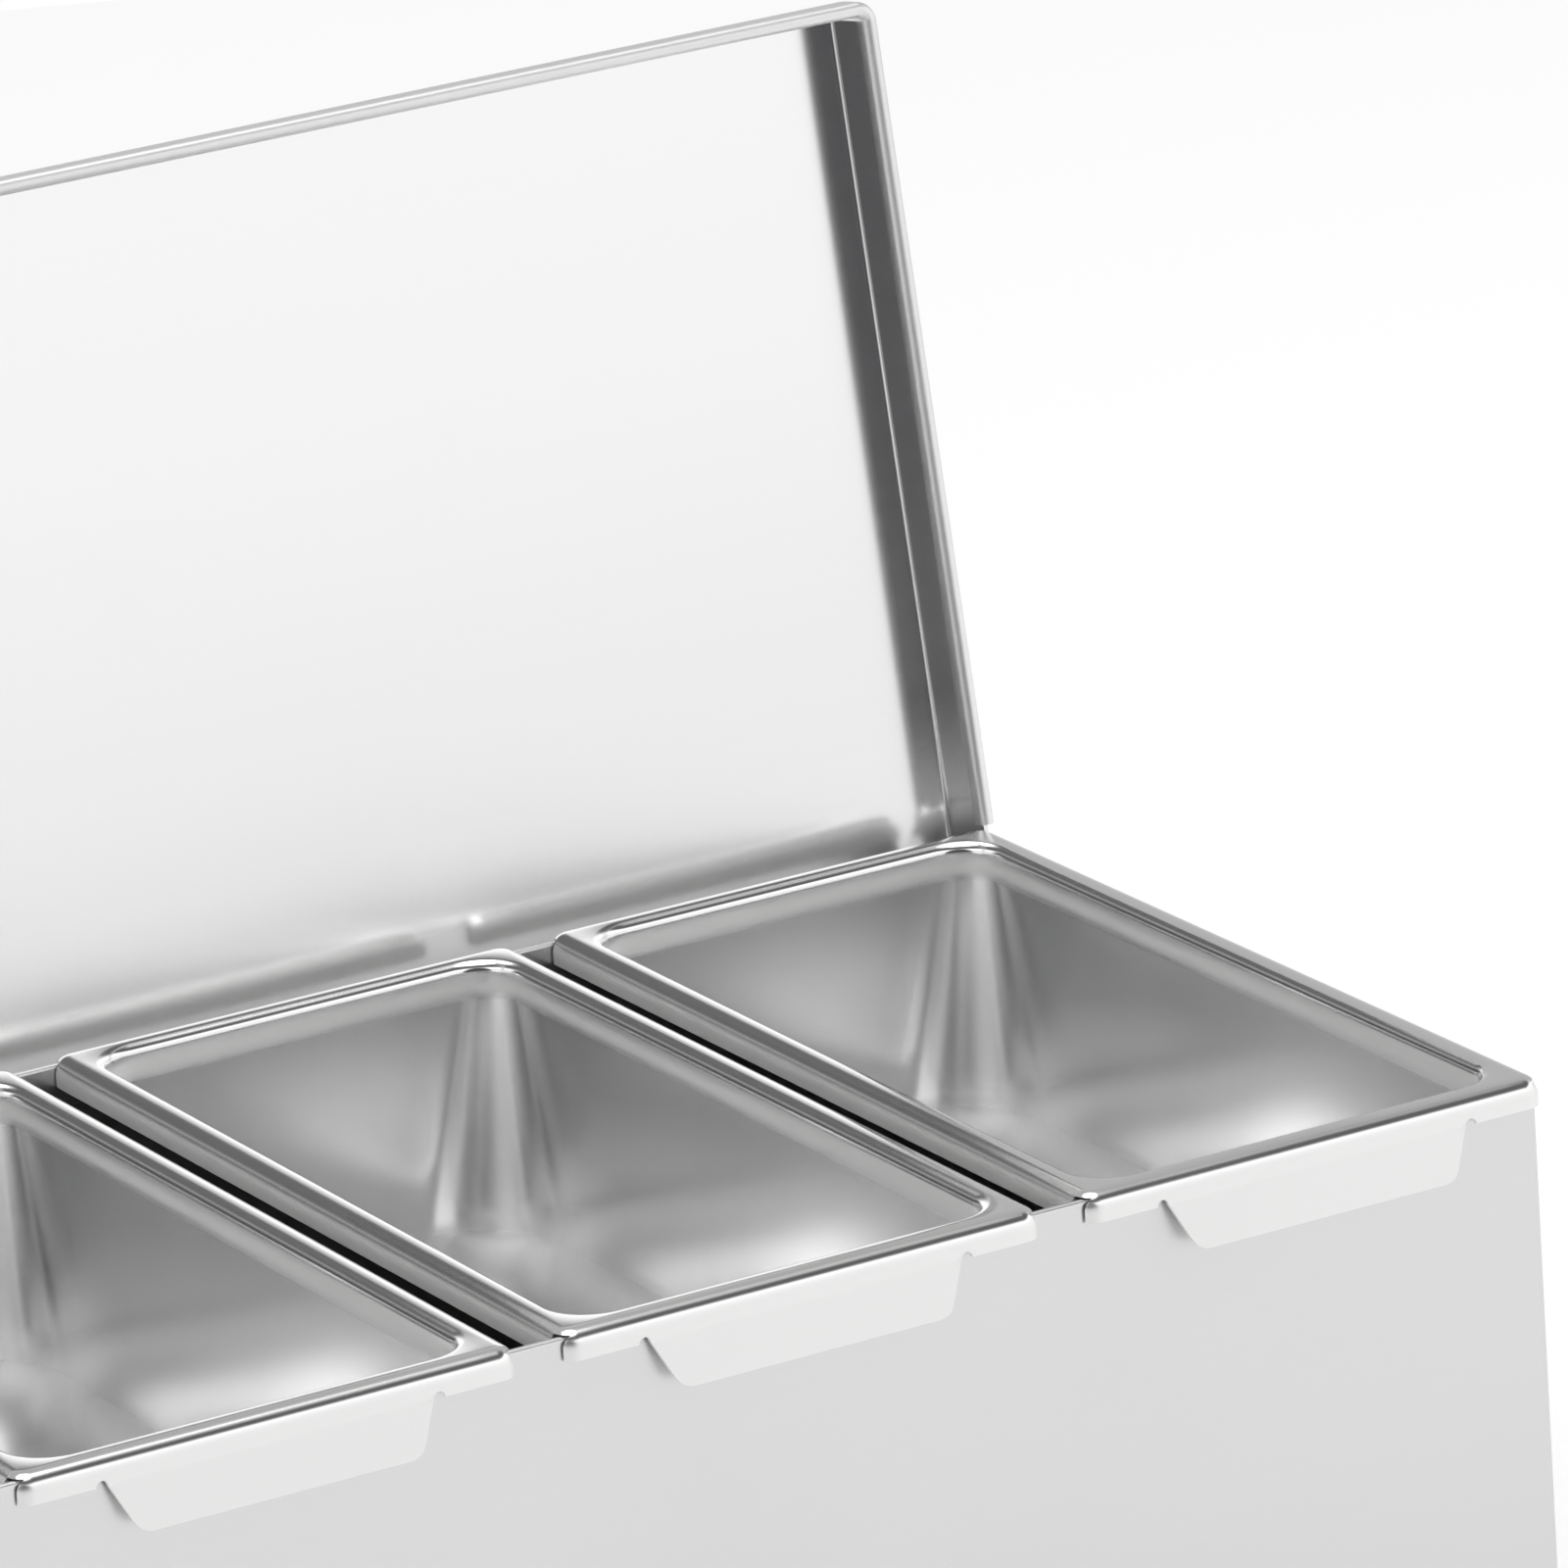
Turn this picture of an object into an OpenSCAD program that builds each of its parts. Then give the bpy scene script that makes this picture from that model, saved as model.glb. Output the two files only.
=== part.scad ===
// Countertop condiment caddy: a hemmed sheet-steel casing, four lift-out pans
// hanging in it by their rims, and one long lid that flips up at the back.
// Units are millimetres. The origin is the centre of the casing's underside,
// +X runs along the row of pans, -Y is the front and +Z is up.

/* [Pans] */
// Width of one pan across its rim, along the row
pan_w = 93; // [76:1:112]
// Length of one pan across its rim, front to back
pan_len = 184; // [150:1:222]
// Depth of one pan, from the top of its rim to the underside of its bottom
pan_depth = 65; // [50:1:120]
// Thickness of the pan sheet
pan_t = 0.8; // [0.6:0.1:1.2]
// Width of the rim, from the mouth to the outside of the lip
rim_w = 6; // [5:0.5:9]
// Radius of the rim's outer corners, seen from above
rim_corner_r = 4; // [2:0.5:8]
// Radius of the mouth's corners, seen from above
mouth_corner_r = 8; // [6:0.5:14]
// Height of the turned-down lip all round the rim
lip_h = 5.1; // [2.5:0.1:6]
// Clearance on each side of the notches that let the lips straddle the casing's walls
notch_clear = 0.5; // [0.3:0.1:0.6]
// How far each wall leans in between the mouth and the bottom
wall_lean = 2; // [1:0.5:6]
// Radius between the walls and the bottom
bottom_r = 20; // [10:1:25]
// Clear space between the rims of two neighbouring pans
pan_gap = 7; // [4:0.5:14]

/* [Lifting ears] */
// Width of the ear where it leaves the front lip
ear_top_w = 59.4; // [40:0.2:70]
// Width of the ear along its lower edge
ear_low_w = 54; // [30:0.2:60]
// How far the ear hangs below the lip
ear_drop = 8.4; // [6:0.1:14]
// How far the ear's lower edge stands out in front of the lip
ear_lean = 2.6; // [0.5:0.1:3]
// Radius of the ear's lower corners
ear_corner_r = 3.5; // [1:0.5:4]
// Radius of the relief cut into the lip beside each end of the ear
ear_relief_r = 1.1; // [0.5:0.1:1.5]

/* [Casing] */
// Space between the undersides of the pans and the base panel
under_gap = 45.3; // [3:0.1:60]
// Thickness of the casing sheet
casing_t = 0.8; // [0.6:0.1:1.2]
// How far the pans' lips stand outside the casing walls
rim_overhang = 1.7; // [1.5:0.1:2.5]
// Height of the leaf folded inwards along the top of each wall
hem_h = 8; // [5:0.5:12]
// Height of the flange turned up round the base panel
base_flange_h = 10; // [6:1:15]

/* [Lid] */
// Thickness of the lid sheet
lid_t = 0.8; // [0.6:0.1:1.2]
// Depth of the front and side flanges below the underside of the top
lid_flange_h = 12.8; // [10:0.2:16]
// Width of the leaf folded outwards along the edge of those flanges
lid_hem_h = 6; // [4:0.5:8]
// Thickness of that open hem, flange and leaf together
lid_hem_w = 2.8; // [2:0.1:4]
// Radius of the lid's front corners, seen from above
lid_corner_r = 1.2; // [0.8:0.2:8]
// Clearance between the pans' lips and the inside of the lid's side flanges
lid_side_clear = 0.9; // [0.6:0.1:2]
// Clearance between the pans' lips and the inside of the lid's front flange
lid_front_clear = 2.4; // [2:0.1:5]
// Clearance between the pans' lips and the inside of the lid's rear flange
lid_rear_clear = 2.2; // [1.5:0.1:4]
// How far the lid turns back from closed
open_angle = 99.2; // [92:0.2:106]

/* [Hinge] */
// Distance of the hinge axis in front of the pans' rear lips
hinge_inset = 14.5; // [12:0.5:20]
// Distance of the hinge axis below the tops of the rims
hinge_drop = 20.8; // [17:0.1:26]
// Radius of each hinge pin's shank
pin_r = 2; // [1.5:0.1:3]
// Radial clearance of each pin in the lid's lug
pin_fit = 0.06; // [0.03:0.01:0.1]
// Radius of each pin's domed head
pin_head_r = 4.5; // [4:0.5:6]
// Height of each pin's domed head
pin_head_h = 1.5; // [1:0.1:2]
// Radius of the lug round each pin
lug_r = 7.5; // [6:0.5:9]
// How far in front of the hinge axis each lug starts
lug_reach = 20; // [16:1:34]
// Radius of the spacer between each lug and the casing
spacer_r = 6; // [5:0.5:7]
// Thickness of the retaining washer inside the casing
washer_t = 0.8; // [0.5:0.1:1]
// Radius of the retaining washer inside the casing
washer_r = 4.5; // [4:0.5:5.5]
// Height of the riveted end of each pin
rivet_h = 0.9; // [0.6:0.1:1]

/* [Clearances] */
// Gap between the pans' rims and the hems that carry them
seat_gap = 0.3; // [0.2:0.1:0.5]
// Gap beside parts that turn against each other, and at the lid's stop
turn_gap = 0.3; // [0.2:0.1:0.5]
// Gap between the lid and the pans' rear rims as the lid swings past them
swing_gap = 0.75; // [0.5:0.05:1.5]

/* [Hidden] */
$fn = 64;
smooth_fn = 32; // facets round the pans' blended bodies
eps = 0.01; // overlap of pieces joined into one solid
pan_count = 4;
steel = [0.80, 0.81, 0.82];
pan_steel = [0.72, 0.73, 0.74];
nylon = [0.93, 0.93, 0.90];

pan_pitch = pan_w + pan_gap;
row_w = pan_pitch * (pan_count - 1) + pan_w; // outside of the end pans' lips
casing_w = row_w - 2 * rim_overhang;
casing_len = pan_len - 2 * rim_overhang;
rim_z = casing_t + under_gap + pan_depth; // tops of the rims
casing_h = rim_z - pan_t - seat_gap; // tops of the hems that carry the pans
inner_w = casing_w - 2 * casing_t;
inner_len = casing_len - 2 * casing_t;

hinge_y = pan_len / 2 - hinge_inset;
hinge_z = rim_z - hinge_drop;
top_rise = norm([hinge_inset, hinge_drop]) + swing_gap; // axis to the lid's underside
lid_in_w = row_w + 2 * lid_side_clear;
lid_front = hinge_y + pan_len / 2 + lid_front_clear; // axis to the front flange's inside
lid_rear = hinge_inset + lid_rear_clear; // axis to the rear flange's inside
back_face = hinge_inset - rim_overhang; // axis to the casing's rear face
corner_lap = back_face - washer_r - turn_gap; // corner flanges stop short of the washers
tilt = open_angle - 90;
// the rear flange's edge meets the casing's rear face when the lid is open
rear_edge = (back_face + turn_gap + (lid_rear + lid_t) * sin(tilt)) / cos(tilt);
flange_edge = top_rise - lid_flange_h;

// rectangle with round corners, centred
module round_rect(w, l, r) {
    square([w - 2 * r, l], center = true);
    square([w, l - 2 * r], center = true);
    for (x = [-1, 1], y = [-1, 1])
        translate([x * (w / 2 - r), y * (l / 2 - r)])
            circle(r);
}

// ---- casing ----

// wall section: outside face at u = 0, thickness towards +u, hem at the top
module wall_section(hemmed) {
    square([casing_t, casing_h - casing_t]);
    intersection() {
        translate([casing_t, casing_h - casing_t])
            circle(casing_t);
        translate([0, casing_h - casing_t])
            square([hemmed ? 2 * casing_t : casing_t, casing_t]);
    }
    if (hemmed)
        translate([casing_t - eps, casing_h - hem_h])
            square([casing_t + eps, hem_h - casing_t]);
}

// front or rear wall, standing between the side walls, outside face at -Y
module end_wall() {
    translate([-inner_w / 2, -casing_len / 2, 0])
        rotate([90, 0, 90])
            linear_extrude(inner_w)
                wall_section(true);
    lap_low = base_flange_h + 2;
    lap_high = casing_h - hem_h - 1;
    for (side = [-1, 1])
        translate([side * (inner_w - casing_t) / 2, (corner_lap - casing_len) / 2, lap_low])
            translate([0, 0, (lap_high - lap_low) / 2])
                cube([casing_t, corner_lap, lap_high - lap_low], center = true);
}

module front_panel() {
    color(steel) end_wall();
}

module back_panel() {
    color(steel) mirror([0, 1, 0]) end_wall();
}

// right-hand side wall, with the hole for its hinge pin
module side_wall() {
    hem_len = inner_len - 2 * casing_t - 2 * turn_gap;
    difference() {
        union() {
            translate([casing_w / 2, -casing_len / 2, 0])
                mirror([1, 0, 0]) rotate([90, 0, 0]) mirror([0, 0, 1])
                    linear_extrude(casing_len)
                        wall_section(false);
            translate([casing_w / 2, -hem_len / 2, 0])
                mirror([1, 0, 0]) rotate([90, 0, 0]) mirror([0, 0, 1])
                    linear_extrude(hem_len)
                        wall_section(true);
        }
        translate([inner_w / 2 - 1, hinge_y, hinge_z])
            rotate([0, 90, 0])
                cylinder(r = pin_r, h = casing_t + 2);
    }
}

module left_side_panel() {
    color(steel) mirror([1, 0, 0]) side_wall();
}

module right_side_panel() {
    color(steel) side_wall();
}

// shallow tray whose flanges stand inside the four walls
module base_panel() {
    color(steel) difference() {
        translate([-inner_w / 2, -inner_len / 2, 0])
            cube([inner_w, inner_len, base_flange_h]);
        translate([casing_t - inner_w / 2, casing_t - inner_len / 2, casing_t])
            cube([inner_w - 2 * casing_t, inner_len - 2 * casing_t, base_flange_h]);
    }
}

// ---- pans ----

// solid body of a pan below its mouth, grown outwards all round; top of the rim at z = 0
module bowl(grow, top) {
    lead = 3;
    mouth_x = pan_w / 2 - rim_w - mouth_corner_r;
    mouth_y = pan_len / 2 - rim_w - mouth_corner_r;
    low_x = pan_w / 2 - rim_w - wall_lean - bottom_r;
    low_y = pan_len / 2 - rim_w - wall_lean - bottom_r;
    hull() {
        for (x = [-1, 1], y = [-1, 1]) {
            translate([x * mouth_x, y * mouth_y, -lead])
                cylinder(r = mouth_corner_r + grow, h = lead + top, $fn = smooth_fn);
            translate([x * low_x, y * low_y, pan_t + bottom_r - pan_depth])
                sphere(r = bottom_r + grow, $fn = smooth_fn);
        }
    }
}

// front view of the lifting ear and the lip above it; the top of the rim is at 0
module ear_outline() {
    low = -lip_h - ear_drop;
    hull() {
        translate([-ear_top_w / 2, -lip_h])
            square([ear_top_w, lip_h - pan_t]);
        for (x = [-1, 1])
            translate([x * (ear_low_w / 2 - ear_corner_r), low + ear_corner_r])
                circle(ear_corner_r, $fn = smooth_fn);
    }
}

// side view of the ear: straight down behind the lip's face, then leaning outwards
module ear_section() {
    low = -lip_h - ear_drop;
    lean = atan2(ear_lean, ear_drop);
    across = pan_t / cos(lean);
    polygon([
        [0, -pan_t],
        [0, -lip_h],
        [-ear_lean, low],
        [across - ear_lean, low],
        [pan_t, -lip_h - (across - pan_t) / tan(lean)],
        [pan_t, -pan_t]
    ]);
}

// lifting ear, bent outwards from the lower edge of the front lip
module ear() {
    intersection() {
        translate([0, 2 * pan_t, 0])
            rotate([90, 0, 0])
                linear_extrude(4 * pan_t + ear_lean)
                    ear_outline();
        translate([-ear_top_w, 0, 0])
            rotate([90, 0, 90])
                linear_extrude(2 * ear_top_w)
                    ear_section();
    }
}

// gaps in the side lips where they pass over the casing's front and rear walls
module lip_notches() {
    near = casing_len / 2 - 2 * casing_t - notch_clear;
    far = casing_len / 2 + notch_clear;
    for (x = [-1, 1], y = [-1, 1])
        translate([x * pan_w / 2, y * (near + far) / 2, -lip_h / 2 - pan_t])
            cube([2 * rim_corner_r, far - near, lip_h], center = true);
}

// half-round cuts in the front lip where the ear starts
module ear_reliefs() {
    for (x = [-1, 1])
        translate([x * (ear_top_w / 2 + ear_relief_r), -pan_len / 2 + pan_t / 2, -lip_h])
            rotate([90, 0, 0])
                cylinder(r = ear_relief_r, h = 2 * pan_t, center = true, $fn = smooth_fn);
}

module pan() {
    difference() {
        union() {
            translate([0, 0, -pan_t])
                linear_extrude(pan_t)
                    round_rect(pan_w, pan_len, rim_corner_r);
            translate([0, 0, -lip_h])
                linear_extrude(lip_h)
                    difference() {
                        round_rect(pan_w, pan_len, rim_corner_r);
                        round_rect(pan_w - 2 * pan_t, pan_len - 2 * pan_t, rim_corner_r - pan_t);
                    }
            translate([0, -pan_len / 2, 0])
                ear();
            bowl(pan_t, -pan_t / 2);
        }
        bowl(0, 1);
        lip_notches();
        ear_reliefs();
    }
}

// pan number n, counted from the left
module placed_pan(n) {
    color(pan_steel)
        translate([(n - (pan_count + 1) / 2) * pan_pitch, 0, rim_z])
            pan();
}

module pan_1() {
    placed_pan(1);
}

module pan_2() {
    placed_pan(2);
}

module pan_3() {
    placed_pan(3);
}

module pan_4() {
    placed_pan(4);
}

// ---- lid, drawn closed with the hinge axis at the origin ----

// outline of the lid grown outwards from the inside of its flanges
module lid_outline(grow) {
    w = lid_in_w + 2 * grow;
    r = lid_corner_r + grow;
    translate([-w / 2, r - lid_front - grow])
        square([w, lid_front + lid_rear + 2 * grow - r]);
    translate([r - w / 2, -lid_front - grow])
        square([w - 2 * r, r + eps]);
    for (x = [-1, 1])
        translate([x * (w / 2 - r), r - lid_front - grow])
            circle(r);
}

// side view of a lug: a disc round the axis, blended to the flange by a straight edge
module lug_outline() {
    start = [-lug_reach, flange_edge];
    turn = atan2(start[1], start[0]) + acos(lug_r / norm(start));
    difference() {
        union() {
            circle(lug_r);
            polygon([
                start,
                lug_r * [cos(turn), sin(turn)],
                [0, 0],
                [lug_r, 0],
                [lid_rear, rear_edge],
                [lid_rear, top_rise],
                [-lug_reach, top_rise]
            ]);
        }
        circle(pin_r + pin_fit);
    }
}

// right-hand lug, in the plane of the side flange
module closed_lug() {
    translate([lid_in_w / 2, 0, 0])
        rotate([90, 0, 90])
            linear_extrude(lid_t)
                lug_outline();
}

// ring standing up from the flanges' edge, out to the outside of the hem
module hem_ring(inside, height) {
    translate([0, 0, flange_edge])
        linear_extrude(height)
            difference() {
                lid_outline(lid_hem_w);
                lid_outline(inside);
                translate([-lid_in_w, -lug_reach - 2])
                    square(2 * lid_in_w);
            }
}

module closed_lid() {
    translate([0, 0, top_rise])
        linear_extrude(lid_t)
            lid_outline(lid_t);
    translate([0, 0, flange_edge])
        linear_extrude(lid_flange_h + eps)
            difference() {
                lid_outline(lid_t);
                lid_outline(0);
                translate([-lid_in_w, -lug_reach])
                    square(2 * lid_in_w);
            }
    translate([-lid_in_w / 2 - lid_t, lid_rear, rear_edge])
        cube([lid_in_w + 2 * lid_t, lid_t, top_rise - rear_edge + eps]);
    hem_ring(lid_hem_w - lid_t, lid_hem_h);
    hem_ring(lid_t - eps, lid_t);
}

// turns what is drawn closed to where the lid stands open
module opened() {
    translate([0, hinge_y, hinge_z])
        rotate([-open_angle, 0, 0])
            children();
}

module lid() {
    color(steel) opened() closed_lid();
}

module left_lug() {
    color(steel) opened() mirror([1, 0, 0]) closed_lug();
}

module right_lug() {
    color(steel) opened() closed_lug();
}

// ---- hinge hardware, drawn for the right-hand side ----

lug_in = lid_in_w / 2; // inside face of the lug
lug_out = lug_in + lid_t;
wall_out = casing_w / 2;
wall_in = wall_out - casing_t;

module on_hinge(x) {
    translate([x, hinge_y, hinge_z])
        rotate([0, 90, 0])
            children();
}

// shank, domed head outside the lug and riveted end inside the washer
module hinge_pin() {
    tail = wall_in - washer_t;
    dome_r = (pin_head_r * pin_head_r + pin_head_h * pin_head_h) / (2 * pin_head_h);
    on_hinge(tail - eps)
        cylinder(r = pin_r, h = lug_out + turn_gap - tail + 2 * eps);
    on_hinge(tail - rivet_h)
        cylinder(r1 = pin_r, r2 = 1.5 * pin_r, h = rivet_h);
    on_hinge(lug_out + turn_gap)
        intersection() {
            translate([0, 0, pin_head_h - dome_r])
                sphere(dome_r);
            cylinder(r = pin_head_r, h = pin_head_h);
        }
}

// spacer that holds the lug off the casing
module spacer() {
    on_hinge(wall_out)
        difference() {
            cylinder(r = spacer_r, h = lug_in - turn_gap - wall_out);
            translate([0, 0, -1])
                cylinder(r = pin_r, h = lug_in - wall_out + 2);
        }
}

// washer under the riveted end, inside the casing
module washer() {
    on_hinge(wall_in - washer_t)
        difference() {
            cylinder(r = washer_r, h = washer_t);
            translate([0, 0, -1])
                cylinder(r = pin_r, h = washer_t + 2);
        }
}

module left_hinge_pin() {
    color(steel) mirror([1, 0, 0]) hinge_pin();
}

module right_hinge_pin() {
    color(steel) hinge_pin();
}

module left_spacer() {
    color(nylon) mirror([1, 0, 0]) spacer();
}

module right_spacer() {
    color(nylon) spacer();
}

module left_washer() {
    color(steel) mirror([1, 0, 0]) washer();
}

module right_washer() {
    color(steel) washer();
}

front_panel();
back_panel();
left_side_panel();
right_side_panel();
base_panel();
pan_1();
pan_2();
pan_3();
pan_4();
lid();
left_lug();
right_lug();
left_hinge_pin();
right_hinge_pin();
left_spacer();
right_spacer();
left_washer();
right_washer();
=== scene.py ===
"""Countertop condiment caddy: folded sheet casing, four lift-out pans and one flip-up lid.

Laid out as an add-on and run as a script. The pieces end in metres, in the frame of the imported
model; the sizes below are in millimetres.
"""
import math

import bmesh
import bpy
from mathutils import Matrix, Vector


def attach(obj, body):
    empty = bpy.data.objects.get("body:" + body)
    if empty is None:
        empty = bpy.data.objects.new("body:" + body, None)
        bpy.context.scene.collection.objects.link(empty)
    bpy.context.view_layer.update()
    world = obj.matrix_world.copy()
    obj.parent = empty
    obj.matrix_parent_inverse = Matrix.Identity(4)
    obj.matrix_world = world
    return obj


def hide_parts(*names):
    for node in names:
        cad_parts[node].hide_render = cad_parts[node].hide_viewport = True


bl_info = {
    "name": "Condiment Caddy",
    "version": (1, 0, 0),
    "blender": (4, 5, 0),
    "location": "View3D > Sidebar > Caddy",
    "description": "Builds a sheet-steel condiment caddy with lift-out pans and a flip-up lid",
    "category": "Object",
}

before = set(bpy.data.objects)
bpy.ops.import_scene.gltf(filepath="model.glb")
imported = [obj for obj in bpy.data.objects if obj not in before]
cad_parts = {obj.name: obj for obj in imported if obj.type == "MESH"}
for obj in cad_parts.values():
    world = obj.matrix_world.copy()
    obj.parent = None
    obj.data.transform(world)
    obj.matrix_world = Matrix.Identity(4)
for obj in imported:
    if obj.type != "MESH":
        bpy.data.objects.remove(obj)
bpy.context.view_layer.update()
MM = 0.001

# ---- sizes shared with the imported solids, in millimetres ----

SHEET = 0.8
TURN_GAP = 0.3  # beside parts that turn against each other, and at the lid's stop

# pans, each drawn about its middle with the rim's top at 0
PITCH = 100.0
PAN_X = (-150.0, -50.0, 50.0, 150.0)
RIM_Z = 111.1
PAN_HALF = (46.5, 92.0)
PAN_DEPTH = 65.0
RIM_W = 6.0
OUTER_R = 4.0
MOUTH_R = 8.0
WALL_LEAN = 2.0
BOTTOM_R = 20.0
LIP_H = 5.1
NOTCH_X = (43.6, 50.5)  # notches that let the side lips straddle the casing's walls
NOTCH_CLEAR = 0.5
EAR_TOP = 29.7  # half width of an ear where it leaves the lip
EAR_LOW = 27.0  # half width of its lower edge
EAR_DROP = 8.4
EAR_LEAN = 2.6
EAR_R = 3.5
RELIEF_R = 1.1

# casing
CASING_X = 194.8
CASING_Y = 90.3
CASING_H = 110.0
HEM_H = 8.0
SIDE_HEM_SHORT = 1.9  # the side walls' hems stop this far short
BASE_FLANGE = 10.0
LAP = 8.0
LAP_Z = (12.0, 101.0)

# hinge
HINGE_Y = 77.5
HINGE_Z = 90.3
OPEN_ANGLE = math.radians(99.2)
PIN_R = 2.0
PIN_PLAY = 0.06  # between a pin and its hole in the lid
PIN_HEAD = 198.5  # underside of a pin's head
SPACER_R = 6.0
WASHER_R = 4.5
WASHER_T = 0.8

# lid, drawn closed with the hinge axis at the origin
SWING_GAP = 0.75  # under the lid as it swings over the pans' rear rims
FLANGE_H = 12.8
LID_IN_X = 197.4
LID_FRONT = -171.9
LID_REAR = 16.7
LID_R = 1.2
LID_TOP = math.hypot(PAN_HALF[1] - HINGE_Y, RIM_Z - HINGE_Z) + SWING_GAP
LID_EDGE = LID_TOP - FLANGE_H
LEAN = OPEN_ANGLE - math.pi / 2
BACK_FACE = CASING_Y - HINGE_Y
REAR_EDGE = (BACK_FACE + TURN_GAP + (LID_REAR + SHEET) * math.sin(LEAN)) / math.cos(LEAN)
LEAF_H = 6.0  # height of the leaf that the lid's hem turns up outside
HEM_W = 2.8
LUG_REACH = 20.0
LUG_R = 7.5
LUG_TURN = math.atan2(LID_EDGE, -LUG_REACH) + math.acos(LUG_R / math.hypot(LUG_REACH, LID_EDGE))
LUG_TOUCH = (LUG_R * math.cos(LUG_TURN), LUG_R * math.sin(LUG_TURN))

# ---- finish marks on the meshes ----

MARK = "satin"
LIP_MARK = 0.5  # the rims have 0, the walls 1 and the bottoms 2
FRONT_MARK = 0.28  # the front lips and ears are brighter than the other lips

# ---- lights and camera ----

WHITE = (1.0, 1.0, 1.0, 1.0)
PANEL = 3.3  # level of the bright panel overhead
# (elevation in degrees, level) of the room that polished sheet shows, in front and at the back
AHEAD = ((-90, 0.4), (-10, 0.4), (-4, 0.7), (1, 1.07), (6, 1.0), (10, 0.88), (18, 0.88),
         (23, 1.3), (31, 1.3), (41, 0.1), (57, 0.1), (61, 0.4), (65, 0.5),
         (70, PANEL), (90, PANEL))
BEHIND = ((-90, 0.8), (-3, 0.62), (14, 0.46), (40, 0.42), (58, 0.4), (65, 0.5),
          (70, PANEL), (90, PANEL))
DARK_PANEL = (0.02, 0.02, 0.021, 1.0)
LAMP_AT = Vector((0.7, -0.9, 2.6))
LAMP_AIM = Vector((0.0, 0.0, 0.1))
LAMP_SIZE = 2.4
CAMERA_AIM = Vector((179.95, 136.37, 111.47)) * MM
CAMERA_DISTANCE = 2.2696
CAMERA_AZIMUTH = math.radians(-29.19)
CAMERA_ELEVATION = math.radians(17.69)
CAMERA_ROLL = math.radians(3.97)
SENSOR = 36.0


# ---- mesh helpers ----

def linked(name, data):
    """A new object of the data, in the scene."""
    obj = bpy.data.objects.new(name, data)
    bpy.context.scene.collection.objects.link(obj)
    return obj


def mesh_object(name, bm, smooth_angle=32.0):
    """Turns a bmesh in millimetres into a linked object in metres."""
    bmesh.ops.remove_doubles(bm, verts=bm.verts, dist=1e-4)
    loose = [v for v in bm.verts if not v.link_faces]
    bmesh.ops.delete(bm, geom=loose, context="VERTS")
    bmesh.ops.recalc_face_normals(bm, faces=bm.faces)
    bmesh.ops.scale(bm, vec=(MM, MM, MM), verts=bm.verts)
    mesh = bpy.data.meshes.new(name)
    bm.to_mesh(mesh)
    bm.free()
    shade(mesh, smooth_angle)
    return linked(name, mesh)


def shade(mesh, smooth_angle=32.0):
    """Smooth shading, kept sharp where faces turn by more than the angle."""
    mesh.polygons.foreach_set("use_smooth", [True] * len(mesh.polygons))
    mesh.set_sharp_from_angle(angle=math.radians(smooth_angle))
    mesh.update()


def arc(start, end, steps):
    """Cosine and sine at even steps between two angles in degrees."""
    angles = [math.radians(start + (end - start) * k / steps) for k in range(steps + 1)]
    return [(math.cos(a), math.sin(a)) for a in angles]


def column_plan(fronts, sides, rears, corner_steps):
    """Column places round a rectangle: each side's own list, then its corner."""
    plan = []
    for side, places in enumerate((fronts, sides, rears, sides)):
        plan += [("side", side, t) for t in places]
        plan += [("corner", side, k / corner_steps) for k in range(1, corner_steps)]
    return plan


def round_loop(hx, hy, r, z, plan):
    """Points of a round-cornered rectangle, placed as the column plan says."""
    r = max(r, 0.0)
    sx, sy = hx - r, hy - r
    points = []
    for kind, side, t in plan:
        if kind == "side":
            x, y = ((t * sx, -hy), (hx, t * sy), (-t * sx, hy), (-hx, -t * sy))[side]
        else:
            cx, cy = ((sx, -sy), (sx, sy), (-sx, sy), (-sx, -sy))[side]
            a = math.radians(90 * side - 90 + 90 * t)
            x, y = cx + r * math.cos(a), cy + r * math.sin(a)
        points.append((x, y, z))
    return points


def tray_object(name, top, low):
    """A tray of sheet from rows of points on its upper and lower faces, rim first."""
    bm = bmesh.new()
    vt = [[bm.verts.new(p) for p in row] for row in top]
    vl = [[bm.verts.new(p) for p in row] for row in low]
    cols = len(top[0])
    for c in range(cols):
        d = (c + 1) % cols
        bm.faces.new((vt[0][c], vl[0][c], vl[0][d], vt[0][d]))
        for r in range(len(top) - 1):
            bm.faces.new((vt[r][c], vt[r][d], vt[r + 1][d], vt[r + 1][c]))
            bm.faces.new((vl[r][c], vl[r + 1][c], vl[r + 1][d], vl[r][d]))
    bm.faces.new(vt[-1])
    bm.faces.new(vl[-1][::-1])
    return mesh_object(name, bm)


def strip_object(name, outline, half, axis):
    """Extrudes a closed outline of a folded sheet, from -half to half along one axis."""
    bm = bmesh.new()
    rings = []
    for along in (-half, half):
        points = [(along, u, v) if axis == "X" else (u, along, v) for u, v in outline]
        rings.append([bm.verts.new(p) for p in points])
    for i in range(len(outline)):
        j = (i + 1) % len(outline)
        bm.faces.new((rings[0][i], rings[0][j], rings[1][j], rings[1][i]))
    bm.faces.new(rings[0])
    bm.faces.new(rings[1])
    return mesh_object(name, bm)


def box_object(name, corner, opposite):
    """A plain box between two opposite corners."""
    lo, hi = zip(*(sorted(pair) for pair in zip(corner, opposite)))
    bm = bmesh.new()
    bmesh.ops.create_cube(bm, size=1.0)
    for v in bm.verts:
        v.co = Vector([lo[i] + (v.co[i] + 0.5) * (hi[i] - lo[i]) for i in range(3)])
    return mesh_object(name, bm)


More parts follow.
